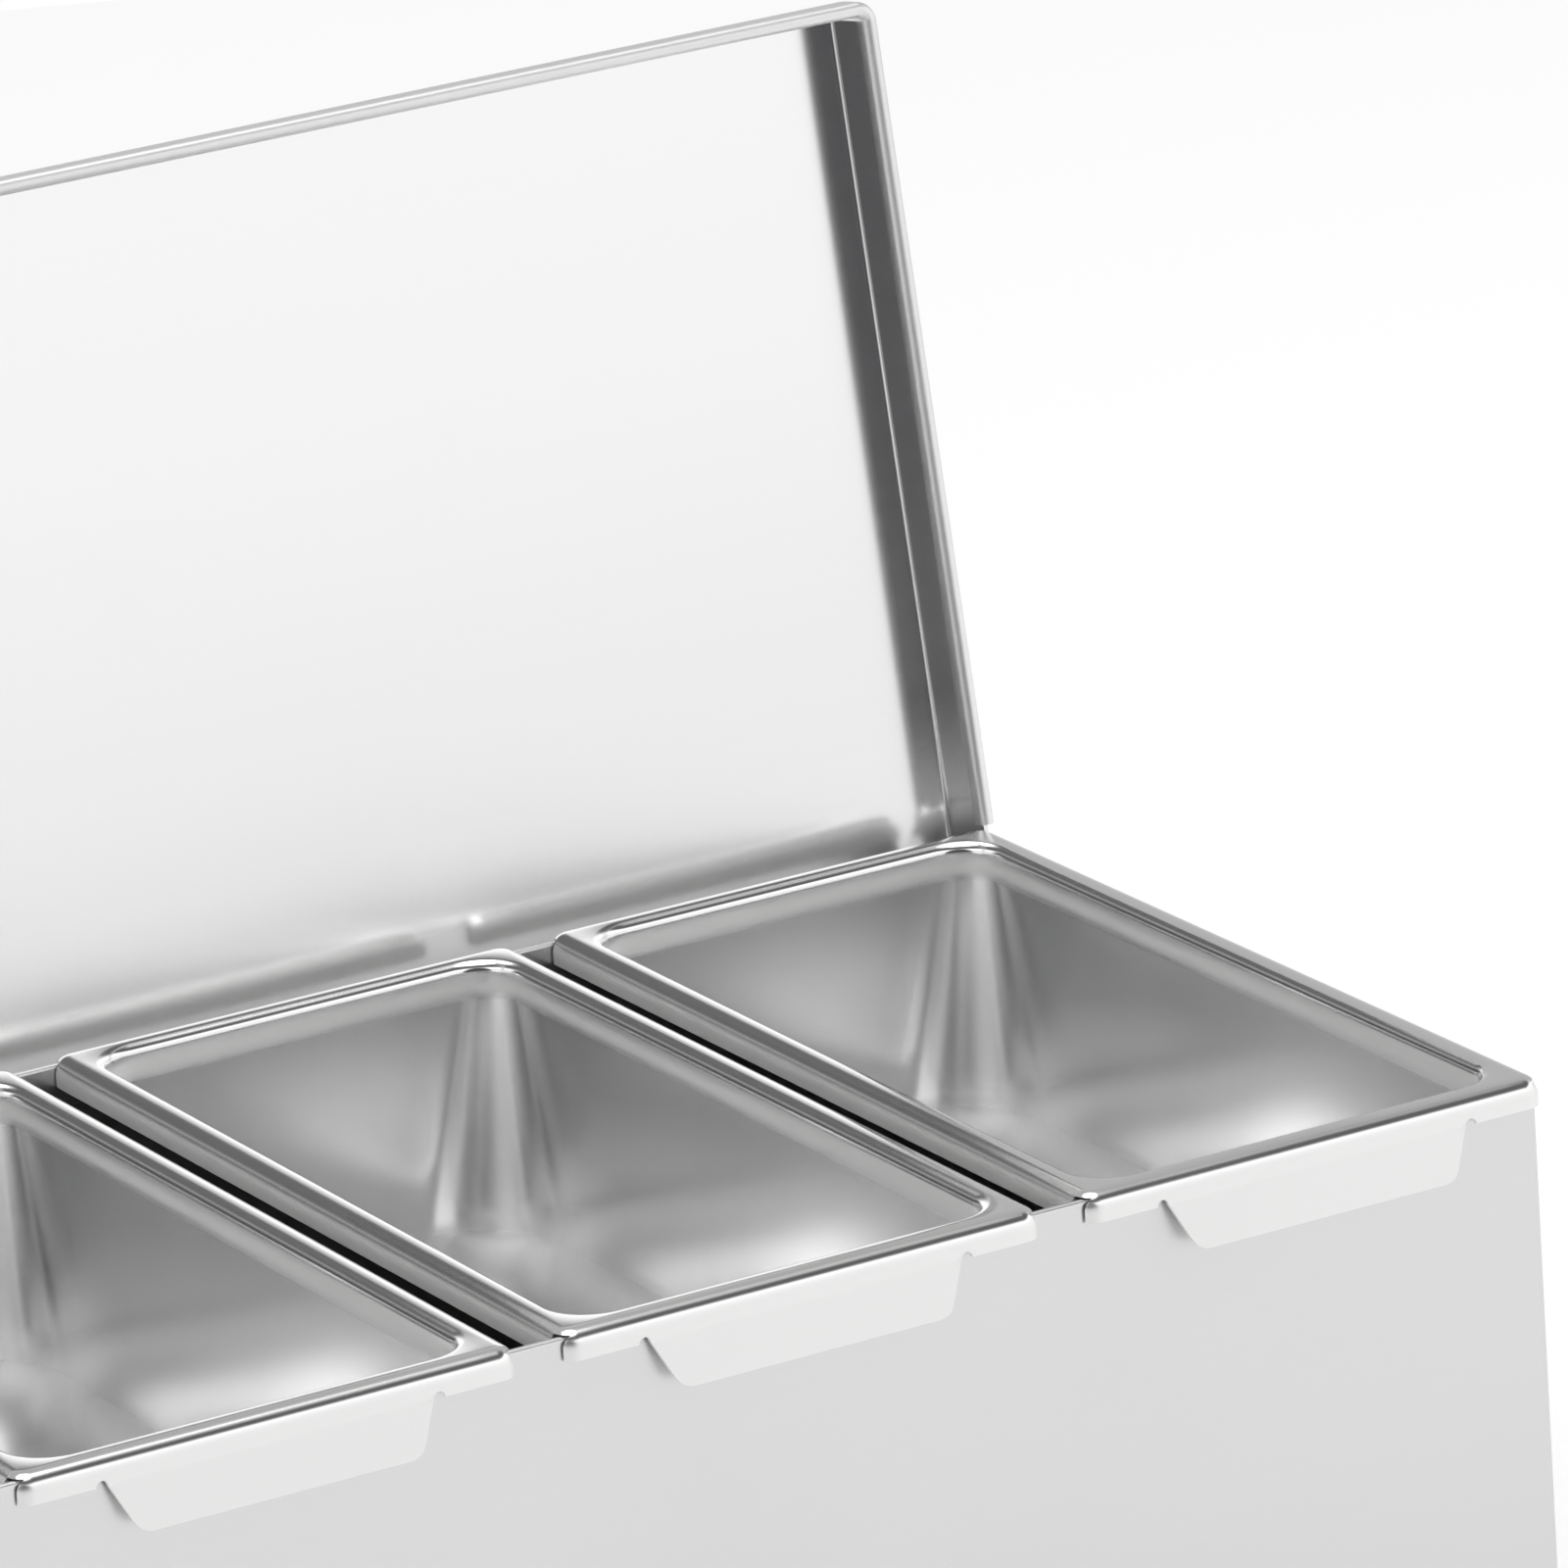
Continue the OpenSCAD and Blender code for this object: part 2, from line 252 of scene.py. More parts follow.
def slab(name, corner, opposite):
    """A flat strip of sheet with its sheared edges eased."""
    obj = box_object(name, corner, opposite)
    bm = bmesh.new()
    bm.from_mesh(obj.data)
    bmesh.ops.bevel(bm, geom=bm.edges[:], offset=0.12 * MM, segments=2, affect="EDGES")
    bm.to_mesh(obj.data)
    bm.free()
    return obj


def lathe(name, profile, side, centre=(HINGE_Y, HINGE_Z), segments=48):
    """Turns a profile of (along, radius) about an axis along X, the hinge's by default."""
    tiny = 1e-6
    bm = bmesh.new()
    rings = []
    for along, radius in profile:
        turns = arc(0, 360, segments)[:-1] if radius > tiny else [(0.0, 0.0)]
        rings.append([bm.verts.new((side * along, centre[0] + radius * c, centre[1] + radius * s))
                      for c, s in turns])
    closed = profile[0][1] > tiny
    for a, b in zip(rings, rings[1:] + (rings[:1] if closed else [])):
        for k in range(segments):
            n = (k + 1) % segments
            if len(a) == 1:
                bm.faces.new((a[0], b[n], b[k]))
            elif len(b) == 1:
                bm.faces.new((a[k], a[n], b[0]))
            else:
                bm.faces.new((a[k], a[n], b[n], b[k]))
    return mesh_object(name, bm, 40.0)


def pin_hole_cutter(side, start, end, radius, segments):
    """Cutter for a pin's hole, between two distances from the middle of the row."""
    profile = [(start, 0.0), (start, radius), (end, radius), (end, 0.0)]
    return lathe("pin_hole_cutter", profile, side, segments=segments)


def apply_modifiers(obj):
    """Turns an object's evaluated shape into its own mesh."""
    bpy.context.view_layer.update()
    graph = bpy.context.evaluated_depsgraph_get()
    mesh = bpy.data.meshes.new_from_object(obj.evaluated_get(graph))
    obj.modifiers.clear()
    obj.data = mesh
    return mesh


def cut(obj, cutters):
    """Takes the cutters out of obj and removes them."""
    for cutter in cutters:
        mod = obj.modifiers.new("cut", "BOOLEAN")
        mod.operation = "DIFFERENCE"
        mod.solver = "EXACT"
        mod.object = cutter
    mesh = apply_modifiers(obj)
    for cutter in cutters:
        bpy.data.objects.remove(cutter)
    bm = bmesh.new()
    bm.from_mesh(mesh)
    bmesh.ops.remove_doubles(bm, verts=bm.verts, dist=1e-7)
    bmesh.ops.dissolve_degenerate(bm, edges=bm.edges, dist=1e-7)
    bm.to_mesh(mesh)
    bm.free()
    shade(mesh)
    return obj


def join(name, parts):
    """Merges several objects' meshes into the first and names it."""
    first = parts[0]
    bm = bmesh.new()
    for part in parts:
        bm.from_mesh(part.data)
    bm.to_mesh(first.data)
    bm.free()
    for part in parts[1:]:
        bpy.data.objects.remove(part)
    shade(first.data)
    first.name = name
    return first


def repeat_mesh(name, mesh, tree, **values):
    """A new object of a shared mesh, run through a node tree whose inputs are set by name."""
    obj = linked(name, mesh)
    mod = obj.modifiers.new("row", "NODES")
    mod.node_group = tree
    for socket in tree.interface.items_tree:
        key = socket.name.replace(" ", "_")
        if socket.in_out == "INPUT" and key in values:
            mod[socket.identifier] = values[key]
    apply_modifiers(obj)
    return obj


def settle(obj, body, slot, material, *nodes):
    """Gives a finished piece its material and body, and hides the solids it stands for; the slot
    argument is not used.
    """
    obj.data.materials.clear()
    obj.data.materials.append(material)
    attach(obj, body)
    if nodes:
        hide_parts(*nodes)


# ---- node helpers ----

def node(tree, kind, **values):
    """Adds a node and sets its properties; in_NAME fills an input.

    It takes a value, another node's output, or a node for its first output.
    """
    made = tree.nodes.new(kind)
    for key, value in values.items():
        if not key.startswith("in_"):
            setattr(made, key, value)
            continue
        name = key[3:]
        socket = made.inputs[int(name) if name.isdigit() else name.replace("_", " ")]
        if isinstance(value, bpy.types.Node):
            value = value.outputs[0]
        if isinstance(value, bpy.types.NodeSocket):
            tree.links.new(value, socket)
        else:
            socket.default_value = value
    return made


def maths(tree, operation, *values):
    """A maths node."""
    inputs = {f"in_{i}": value for i, value in enumerate(values)}
    return node(tree, "ShaderNodeMath", operation=operation, **inputs)


def step(tree, value, start, end, curve="SMOOTHSTEP"):
    """A node that goes from 0 to 1 as the value goes from the start to the end."""
    return node(tree, "ShaderNodeMapRange", interpolation_type=curve,
                in_Value=value, in_From_Min=start, in_From_Max=end)


def mix_colour(tree, factor, first, second):
    """Output of a mix of two colours, which is not the node's first."""
    return node(tree, "ShaderNodeMix", data_type="RGBA",
                in_0=factor, in_6=first, in_7=second).outputs[2]


def mix_value(tree, factor, first, second):
    """A mix of two numbers."""
    return node(tree, "ShaderNodeMix", data_type="FLOAT",
                in_0=factor, in_2=first, in_3=second)


def group_tree(kind, name, inputs, outputs):
    """A node group with named sockets, and the outputs of its input node."""
    tree = bpy.data.node_groups.new(name, kind)
    for label, sort, *default in inputs:
        socket = tree.interface.new_socket(label, in_out="INPUT", socket_type="NodeSocket" + sort)
        if default:
            socket.default_value = default[0]
    for label, sort in outputs:
        tree.interface.new_socket(label, in_out="OUTPUT", socket_type="NodeSocket" + sort)
    return tree, tree.nodes.new("NodeGroupInput").outputs


def empty_tree(owner):
    """The emptied node tree of a material or world."""
    owner.use_nodes = True
    owner.node_tree.nodes.clear()
    return owner.node_tree


# ---- materials ----

def grain_group():
    """Fine rolled grain: a stretched noise that gives a tone and a height."""
    found = bpy.data.node_groups.get("sheet_grain")
    if found:
        return found
    tree, given = group_tree(
        "ShaderNodeTree", "sheet_grain",
        [("Vector", "Vector"),
         ("Lines per metre", "Float", 2500.0),
         ("Stretch", "Vector", (0.02, 1.0, 1.0))],
        [("Tone", "Float"), ("Height", "Float")])
    along = node(tree, "ShaderNodeVectorMath", operation="MULTIPLY",
                 in_0=given["Vector"], in_1=given["Stretch"])
    fine = node(tree, "ShaderNodeTexNoise", in_Vector=along, in_Scale=given["Lines per metre"],
                in_Detail=3.0, in_Roughness=0.6)
    coarse = maths(tree, "MULTIPLY", given["Lines per metre"], 0.22)
    wide = node(tree, "ShaderNodeTexNoise", in_Vector=along, in_Scale=coarse,
                in_Detail=2.0, in_Roughness=0.5)
    tone = maths(tree, "MULTIPLY_ADD", wide, 0.4, maths(tree, "MULTIPLY", fine, 0.6))
    node(tree, "NodeGroupOutput", in_Tone=tone, in_Height=fine)
    return tree


def haze_group():
    """Soft patches of handling haze that dull a polished sheet a little."""
    found = bpy.data.node_groups.get("handling_haze")
    if found:
        return found
    tree, given = group_tree(
        "ShaderNodeTree", "handling_haze",
        [("Vector", "Vector"),
         ("Patches per metre", "Float", 14.0),
         ("Cover", "Float", 0.5)],
        [("Mask", "Float")])
    noise = node(tree, "ShaderNodeTexNoise", in_Vector=given["Vector"],
                 in_Scale=given["Patches per metre"], in_Detail=4.0, in_Roughness=0.55)
    low = maths(tree, "SUBTRACT", 1.0, given["Cover"])
    high = maths(tree, "ADD", low, 0.25)
    node(tree, "NodeGroupOutput", in_Mask=step(tree, noise, low, high))
    return tree


def dim(colour, share):
    """A colour with each part cut to a share of itself."""
    return tuple(share * c for c in colour)


def steel(name, dark, light, rough, grain, stretch, grain_rough, haze_rough, bump, finish=None):
    """Rolled or pressed steel with grain and handling haze.

    finish(tree, mark, colour, rough) may change the colour and roughness by the mesh's marks.
    """
    mat = bpy.data.materials.new(name)
    tree = empty_tree(mat)
    place = node(tree, "ShaderNodeTexCoord").outputs["Object"]
    lines = node(tree, "ShaderNodeGroup", node_tree=grain_group(),
                 in_Vector=place, in_Lines_per_metre=grain, in_Stretch=stretch).outputs
    haze = node(tree, "ShaderNodeGroup", node_tree=haze_group(), in_Vector=place).outputs
    colour = mix_colour(tree, lines["Tone"], (*dark, 1.0), (*light, 1.0))
    rough = maths(tree, "MULTIPLY_ADD", lines["Tone"], grain_rough, rough)
    rough = maths(tree, "MULTIPLY_ADD", haze["Mask"], haze_rough, rough)
    if finish:
        mark = node(tree, "ShaderNodeAttribute", attribute_name=MARK).outputs["Fac"]
        colour, rough = finish(tree, mark, colour, rough)
    relief = node(tree, "ShaderNodeBump", in_Strength=1.0, in_Distance=bump,
                  in_Height=lines["Height"])
    shader = node(tree, "ShaderNodeBsdfPrincipled", in_Metallic=1.0, in_Base_Color=colour,
                  in_Roughness=rough, in_Normal=relief)
    node(tree, "ShaderNodeOutputMaterial", in_0=shader)
    return mat


def casing_steel(settings):
    """Satin sheet with fine horizontal grain."""
    light = tuple(settings.light)
    return steel("casing_satin", dim(light, 0.975), light, settings.roughness,
                 grain=2200.0, stretch=(0.02, 1.0, 1.0), grain_rough=0.05, haze_rough=0.05,
                 bump=8.0e-7)


def pan_steel(settings):
    """Pressed steel: bright on the rolled rim, dull on the lips, satin on the walls and bottom."""
    def finish(tree, mark, colour, rough):
        lips = step(tree, mark, 0.0, LIP_MARK, "LINEAR")
        walls = step(tree, mark, LIP_MARK, 1.0)
        bottom = step(tree, mark, 1.0, 2.0)
        # the walls and bottoms take the wall colour, set darker than the rims' partly as painted
        # shade for the pans' insides
        colour = mix_colour(tree, walls, (*settings.rim_colour, 1.0), colour)
        rough = mix_value(tree, lips, rough, settings.lip_roughness)
        rough = mix_value(tree, walls, rough, settings.wall_roughness)
        return colour, mix_value(tree, bottom, rough, settings.bottom_roughness)

    # the wall colour is partly painted shade: set below the rim colour so the pans' insides render
    # darker
    return steel("pan_pressed_satin", dim(settings.wall_colour_and_shade, 0.93), settings.wall_colour_and_shade,
                 settings.rim_roughness, grain=900.0, stretch=(1.0, 1.0, 0.04), grain_rough=0.04,
                 haze_rough=0.04, bump=1.2e-6, finish=finish)


def lid_steel(settings):
    """Near-mirror sheet, duller along the folded hem."""
    def finish(tree, mark, colour, rough):
        return colour, mix_value(tree, mark, rough, settings.hem_roughness)

    light = tuple(settings.light)
    return steel("lid_near_mirror", dim(light, 0.96), light, settings.roughness,
                 grain=1600.0, stretch=(0.03, 1.0, 1.0), grain_rough=0.04, haze_rough=0.03,
                 bump=1.0e-6, finish=finish)


def fastener_steel():
    """Polished steel of the hinge pins and washers."""
    return steel("fastener_polished", (0.74, 0.75, 0.76), (0.82, 0.83, 0.84), 0.16,
                 grain=3000.0, stretch=(1.0, 1.0, 1.0), grain_rough=0.06, haze_rough=0.03,
                 bump=1.0e-6)


def nylon(settings):
    """Natural nylon of the hinge spacers."""
    mat = bpy.data.materials.new("spacer_natural_nylon")
    tree = empty_tree(mat)
    speck = node(tree, "ShaderNodeTexNoise", in_Scale=900.0, in_Detail=2.0,
                 in_Vector=node(tree, "ShaderNodeTexCoord").outputs["Object"])
    colour = mix_colour(tree, speck, (*settings.nylon_colour, 1.0),
                        (*dim(settings.nylon_colour, 0.93), 1.0))
    relief = node(tree, "ShaderNodeBump", in_Distance=2e-5, in_Height=speck)
    shader = node(tree, "ShaderNodeBsdfPrincipled", in_Base_Color=colour, in_Roughness=0.55,
                  in_Normal=relief)
    node(tree, "ShaderNodeOutputMaterial", in_0=shader)
    return mat


def floor_matt():
    """Pale matt floor, near white to the camera, with the object's shadow kept."""
    mat = bpy.data.materials.new("studio_floor_pale")
    tree = empty_tree(mat)
    matt = node(tree, "ShaderNodeBsdfDiffuse", in_Color=(0.92, 0.92, 0.92, 1.0))
    seen = node(tree, "ShaderNodeLightPath").outputs["Is Camera Ray"]
    glow = node(tree, "ShaderNodeEmission", in_Color=WHITE,
                in_Strength=maths(tree, "MULTIPLY", seen, 0.14))
    both = node(tree, "ShaderNodeAddShader", in_0=matt, in_1=glow)
    node(tree, "ShaderNodeOutputMaterial", in_0=both)
    return mat


# ---- settings ----

def number_setting(name, description, default, low, high, unit="NONE"):
    """A plain number or, with the unit LENGTH, a length in metres."""
    return bpy.props.FloatProperty(name=name, description=description, default=default,
                                   min=low, max=high, unit=unit)


def count_setting(name, description, default, low, high):
    """A whole number."""
    return bpy.props.IntProperty(name=name, description=description, default=default,
                                 min=low, max=high)


def colour_setting(name, description, default):
    """A linear colour."""
    return bpy.props.FloatVectorProperty(name=name, description=description, default=default,
                                         subtype="COLOR")


class CaddyPanSettings(bpy.types.PropertyGroup):
    """Shape and finish of the lift-out pans."""

    outer_bend: number_setting(
        "Outer bend radius", "Outside radius of the bend from a pan's rim to its lip",
        0.003, 0.001, 0.0034, "LENGTH")
    mouth_bend: number_setting(
        "Mouth bend radius", "Radius of the bend from a pan's rim into its mouth",
        0.002, 0.001, 0.0024, "LENGTH")
    corner_steps: count_setting("Corner steps", "Facets round each corner of a pan", 14, 6, 24)
    rim_colour: colour_setting("Rim colour", "Colour of the rims, lips and ears",
                               (0.97, 0.97, 0.965))
    # Partly the steel's own tone and partly painted shade: set darker than the rim colour so the
    # pans' insides render darker.
    wall_colour_and_shade: colour_setting("Wall colour", "Lightest tone of the pressed walls",
                                (0.9, 0.9, 0.9))
    rim_roughness: number_setting("Rim roughness", "Roughness of the bright rolled rims",
                                  0.12, 0.05, 0.6)
    lip_roughness: number_setting("Lip roughness", "Roughness of the lips and ears",
                                  0.8, 0.05, 0.8)
    wall_roughness: number_setting("Wall roughness", "Roughness of the pressed walls",
                                   0.2, 0.05, 0.6)
    bottom_roughness: number_setting(
        "Bottom roughness", "Roughness of the pans' bottoms, dulled by use", 0.45, 0.05, 0.8)


class CaddyLidSettings(bpy.types.PropertyGroup):
    """Shape and finish of the flip-up lid."""

    bend_r: number_setting("Lid bend radius", "Inside radius of the bends round the lid",
                           0.0009, 0.0004, 0.001, "LENGTH")
    light: colour_setting("Lid colour", "Colour of the near-mirror lid sheet", (0.95, 0.95, 0.95))
    roughness: number_setting("Lid roughness", "Roughness of the lid sheet", 0.14, 0.03, 0.5)
    hem_roughness: number_setting("Hem roughness", "Roughness along the folded hem",
                                  0.45, 0.05, 0.8)


class CaddyCasingSettings(bpy.types.PropertyGroup):
    """Finish of the casing and of the hinge fittings."""

    light: colour_setting("Casing colour", "Lightest tone of the casing's satin sheet",
                          (0.80, 0.80, 0.80))
    roughness: number_setting("Casing roughness", "Roughness of the casing's satin sheet",
                              0.3, 0.1, 0.6)
    base_bend: number_setting(
        "Base bend radius", "Outside radius of the bend round the base panel",
        0.0016, 0.001, 0.003, "LENGTH")
    weld_count: count_setting("Spot welds", "Spot welds up each corner of the casing", 5, 2, 8)
    nylon_colour: colour_setting("Spacer colour", "Colour of the nylon hinge spacers",
                                 (0.88, 0.88, 0.85))


class CaddyStageSettings(bpy.types.PropertyGroup):
    """Floor, light and camera."""

    floor_radius: number_setting("Floor radius", "Radius of the round studio floor",
                                 1.3, 1.0, 8.0, "LENGTH")
    lamp_power: number_setting("Lamp power", "Power of the soft lamp overhead, in watts",
                               26.0, 0.0, 200.0)
    room_level: number_setting("Room level", "Strength of the plain light from all round",
                               0.72, 0.0, 1.5)
    lens: number_setting("Lens", "Focal length of the camera, in millimetres",
                         282.1, 20.0, 400.0)


# ---- stage ----

def aim_camera(lens):
    """The camera, from its azimuth, elevation, roll and distance to the aim."""
    a, e = CAMERA_AZIMUTH, CAMERA_ELEVATION
    back = Vector((math.sin(a) * math.cos(e), -math.cos(a) * math.cos(e), math.sin(e)))
    right = Vector((math.cos(a), math.sin(a), 0.0))
    down = (-back).cross(right)
    across = right * math.cos(CAMERA_ROLL) + down * math.sin(CAMERA_ROLL)
    below = down * math.cos(CAMERA_ROLL) - right * math.sin(CAMERA_ROLL)
    data = bpy.data.cameras.new("studio_camera")
    data.lens = lens
    data.sensor_width = SENSOR
    camera = linked("studio_camera", data)
    turn = Matrix((across, -below, back)).transposed()
    camera.matrix_world = Matrix.Translation(CAMERA_AIM + back * CAMERA_DISTANCE) @ turn.to_4x4()
    bpy.context.scene.camera = camera


def room_bands(tree, height, stops):
    """A ramp of light levels, as shares of the panel's, by elevation in degrees."""
    ramp = node(tree, "ShaderNodeValToRGB", in_0=height)
    while len(ramp.color_ramp.elements) < len(stops):
        ramp.color_ramp.elements.new(0.5)
    for element, (elevation, level) in zip(ramp.color_ramp.elements, stops):
        element.position = (math.sin(math.radians(elevation)) + 1) / 2
        element.color = (level / PANEL, level / PANEL, level / PANEL, 1.0)
    return ramp


def studio_world(room_level):
    """White to the camera, plain light all round, and a banded room that polished sheet shows."""
    world = bpy.data.worlds.new("studio")
    bpy.context.scene.world = world
    tree = empty_tree(world)
    way = node(tree, "ShaderNodeTexCoord").outputs["Generated"]
    parts = node(tree, "ShaderNodeSeparateXYZ", in_0=way).outputs
    height = step(tree, parts[2], -1.0, 1.0, "LINEAR")
    room = mix_colour(tree, step(tree, parts[1], -0.1, 0.4),
                      room_bands(tree, height, AHEAD), room_bands(tree, height, BEHIND))
    # a dark panel on the camera's side
    side = (math.sin(CAMERA_AZIMUTH), -math.cos(CAMERA_AZIMUTH), 0.0)
    toward = node(tree, "ShaderNodeVectorMath", operation="DOT_PRODUCT", in_0=way, in_1=side)
    room = mix_colour(tree, step(tree, toward.outputs["Value"], 0.76, 0.86), room, DARK_PANEL)

    ray = node(tree, "ShaderNodeLightPath").outputs
    shiny = maths(tree, "MAXIMUM", ray["Is Glossy Ray"], ray["Is Transmission Ray"])
    plain, mirrored, white = (
        node(tree, "ShaderNodeBackground", in_Color=colour, in_Strength=strength)
        for colour, strength in ((WHITE, room_level), (room, PANEL), (WHITE, 1.0)))
    light = node(tree, "ShaderNodeMixShader", in_0=shiny, in_1=plain, in_2=mirrored)
    seen = node(tree, "ShaderNodeMixShader", in_0=ray["Is Camera Ray"], in_1=light, in_2=white)
    node(tree, "ShaderNodeOutputWorld", in_0=seen)


def soft_lamp(power):
    """A large soft lamp overhead that polished sheet doesn't show."""
    data = bpy.data.lights.new("soft_lamp", "AREA")
    data.shape = "DISK"
    data.size = LAMP_SIZE
    data.energy = power
    lamp = linked("soft_lamp", data)
    lamp.location = LAMP_AT
    lamp.rotation_euler = (LAMP_AIM - lamp.location).to_track_quat("-Z", "Y").to_euler()
    lamp.visible_glossy = False
    lamp.visible_camera = False


class CADDY_OT_build_stage(bpy.types.Operator):
    """Builds the pale floor, the soft light and the camera"""

    bl_idname = "caddy.build_stage"
    bl_label = "Stage"

    def execute(self, context):
        settings = context.scene.caddy_stage
        context.scene.view_settings.view_transform = "Standard"
        aim_camera(settings.lens)
        studio_world(settings.room_level)
        bm = bmesh.new()
        bmesh.ops.create_circle(bm, cap_ends=True, radius=settings.floor_radius / MM, segments=96)
        floor = mesh_object("studio_floor", bm)
        if floor.data.polygons[0].normal.z < 0:
            floor.data.flip_normals()
        floor.data.materials.append(floor_matt())
        soft_lamp(settings.lamp_power)
        return {"FINISHED"}


# ---- pans ----

EAR_STEPS = (0.0, 0.22, 0.42, 0.5, 0.56, 0.78)  # rows up the lip, the ear's fold at half way


def ear_bottom(x):
    """Lower edge of a pan's front lip at x: lip, relief cuts and ear."""
    x = abs(x)
    low = -LIP_H - EAR_DROP
    mid_x, mid_z = EAR_LOW - EAR_R, low + EAR_R
    reach = math.hypot(EAR_TOP - mid_x, -LIP_H - mid_z)
    turn = math.atan2(-LIP_H - mid_z, EAR_TOP - mid_x) - math.acos(EAR_R / reach)
    touch_x, touch_z = mid_x + EAR_R * math.cos(turn), mid_z + EAR_R * math.sin(turn)
    if x <= mid_x:
        return low
    if x <= touch_x:
        return mid_z - math.sqrt(max(EAR_R ** 2 - (x - mid_x) ** 2, 0.0))
    if x <= EAR_TOP:
        return touch_z + (x - touch_x) / (EAR_TOP - touch_x) * (-LIP_H - touch_z)
    if x < EAR_TOP + 2 * RELIEF_R:
        return -LIP_H + math.sqrt(max(RELIEF_R ** 2 - (x - EAR_TOP - RELIEF_R) ** 2, 0.0))
    return -LIP_H


def lip_height(foot, high, t):
    """Height of a lip point, t of the way from its foot to the bend."""
    if foot >= -LIP_H:
        return foot + (high - foot) * t
    if t <= 0.5:
        return foot + (-LIP_H - foot) * t / 0.5
    return -LIP_H + (high + LIP_H) * (t - 0.5) / 0.5


def hang_lip(row, plan, high, t):
    """Sets a row of the lip at its height and leans the ear out."""
    hung = []
    for (kind, side, _t), (x, y, _z) in zip(plan, row):
        foot = ear_bottom(x) if (kind, side) == ("side", 0) else -LIP_H
        z = lip_height(foot, high, t)
        lean = EAR_LEAN * max(-LIP_H - z, 0.0) / EAR_DROP
        hung.append((x, y - lean, z))
    return hung


def pan_rows(roll, bend):
    """Rows of a pan's section, from its outer lip to its bottom.

    A row has its (half x, half y, corner radius, z) on the upper and on the lower face, and how
    far up the lip it is, or None.
    """
    hx, hy = PAN_HALF
    rows = []

    def add(half, corner, upper, lower, rise=None):
        sizes = [(half[0] + r, half[1] + r, corner + r, z) for r, z in (upper, lower)]
        rows.append((*sizes, rise))

    outer = (hx - roll, hy - roll)
    under = roll - SHEET
    for t in EAR_STEPS:
        add(outer, OUTER_R - roll, (roll, 0.0), (under, 0.0), t)
    for c, s in arc(0, 90, 8):
        add(outer, OUTER_R - roll, (roll * c, roll * s - roll), (under * c, under * s - roll))
    inner = (hx - RIM_W + bend, hy - RIM_W + bend)
    tight = bend - SHEET
    for c, s in arc(90, 0, 6):
        add(inner, MOUTH_R + bend, (-bend * c, bend * s - bend), (-tight * c, tight * s - bend))
    mouth = (hx - RIM_W, hy - RIM_W)
    below = -bend - 0.3
    add(mouth, MOUTH_R, (0.0, below), (SHEET, below))
    lead = -3.0  # the walls lean from here down to the bottom's radius
    low = (mouth[0] - WALL_LEAN - BOTTOM_R, mouth[1] - WALL_LEAN - BOTTOM_R)
    low_z = SHEET + BOTTOM_R - PAN_DEPTH
    run, fall = mouth[0] - low[0], lead - low_z
    start = math.acos(BOTTOM_R / math.hypot(run, fall)) - math.atan2(fall, run)
    foot = BOTTOM_R * math.cos(start)
    foot_low = (BOTTOM_R + SHEET) * math.cos(start)
    for k in range(11):
        t = k / 10
        r_top = MOUTH_R + (foot - MOUTH_R) * t
        r_low = MOUTH_R + SHEET + (foot_low - MOUTH_R - SHEET) * t
        z = lead + (low_z - BOTTOM_R * math.sin(start) - lead) * t
        cx = mouth[0] - MOUTH_R + (low[0] - mouth[0] + MOUTH_R) * t
        cy = mouth[1] - MOUTH_R + (low[1] - mouth[1] + MOUTH_R) * t
        add((cx, cy), 0.0, (r_top, z), (r_low, z))
    for k in range(1, 13):
        a = start + (math.pi / 2 - start) * k / 12
        faces = [(r * math.cos(a), low_z - r * math.sin(a)) for r in (BOTTOM_R, BOTTOM_R + SHEET)]
        add(low, 0.0, *faces)
    return rows


def pan_shell(settings):
    """One pressed pan: rolled rim, lip with its ear, leaning walls and round bottom."""
    roll, bend = settings.outer_bend / MM, settings.mouth_bend / MM
    straight = PAN_HALF[0] - OUTER_R
    flat = EAR_LOW - EAR_R
    half = [0.0, 8.0, 16.0, flat]
    half += [flat + EAR_R * math.sin(math.radians(a)) for a in (15, 30, 45, 60, 74)]
    half += [27.5, 28.5, 29.4]
    half += [EAR_TOP + RELIEF_R * (1 - c) for c, _s in arc(0, 180, 9)]
    half += [35.0, 38.5, straight]
    fronts = [-x / straight for x in reversed(half[1:])] + [x / straight for x in half]
    sides = [k / 6 - 1 for k in range(13)]
    plan = column_plan(fronts, sides, sides, settings.corner_steps)
    top, low = [], []
    for upper, lower, rise in pan_rows(roll, bend):
        for size, grid in ((upper, top), (lower, low)):
            row = round_loop(*size, plan)
            grid.append(row if rise is None else hang_lip(row, plan, -roll, rise))
    pan = tray_object("pan_pattern", top, low)
    near, far = CASING_Y - 2 * SHEET - NOTCH_CLEAR, CASING_Y + NOTCH_CLEAR
    cut(pan, [box_object("notch_cutter", (x * NOTCH_X[0], y * near, -LIP_H - SHEET),
                         (x * NOTCH_X[1], y * far, -SHEET)) for x in (-1, 1) for y in (-1, 1)])
    mark_finish(pan.data)
    return pan


def rise_between(value, start, end):
    """0 up to the start, 1 from the end on."""
    return min(max((value - start) / (end - start), 0.0), 1.0)


def mark_finish(mesh):
    """Marks a pan: 0 on the rim, LIP_MARK or FRONT_MARK on the lips, 1 on the walls, 2 below."""
    lip_zone = 3.0
    bottom = PAN_DEPTH - BOTTOM_R
    layer = mesh.attributes.new(MARK, "FLOAT", "POINT")
    for v in mesh.vertices:
        x, y, depth = v.co.x / MM, v.co.y / MM, -v.co.z / MM
        if abs(x) > PAN_HALF[0] - lip_zone or abs(y) > PAN_HALF[1] - lip_zone:
            front = y < lip_zone - PAN_HALF[1]
            level = (FRONT_MARK if front else LIP_MARK) * rise_between(depth, 1.2, 2.8)
        else:
            level = rise_between(depth, 1.5, 6.5) + rise_between(depth, bottom, bottom + 8.0)
        layer.data[v.index].value = level


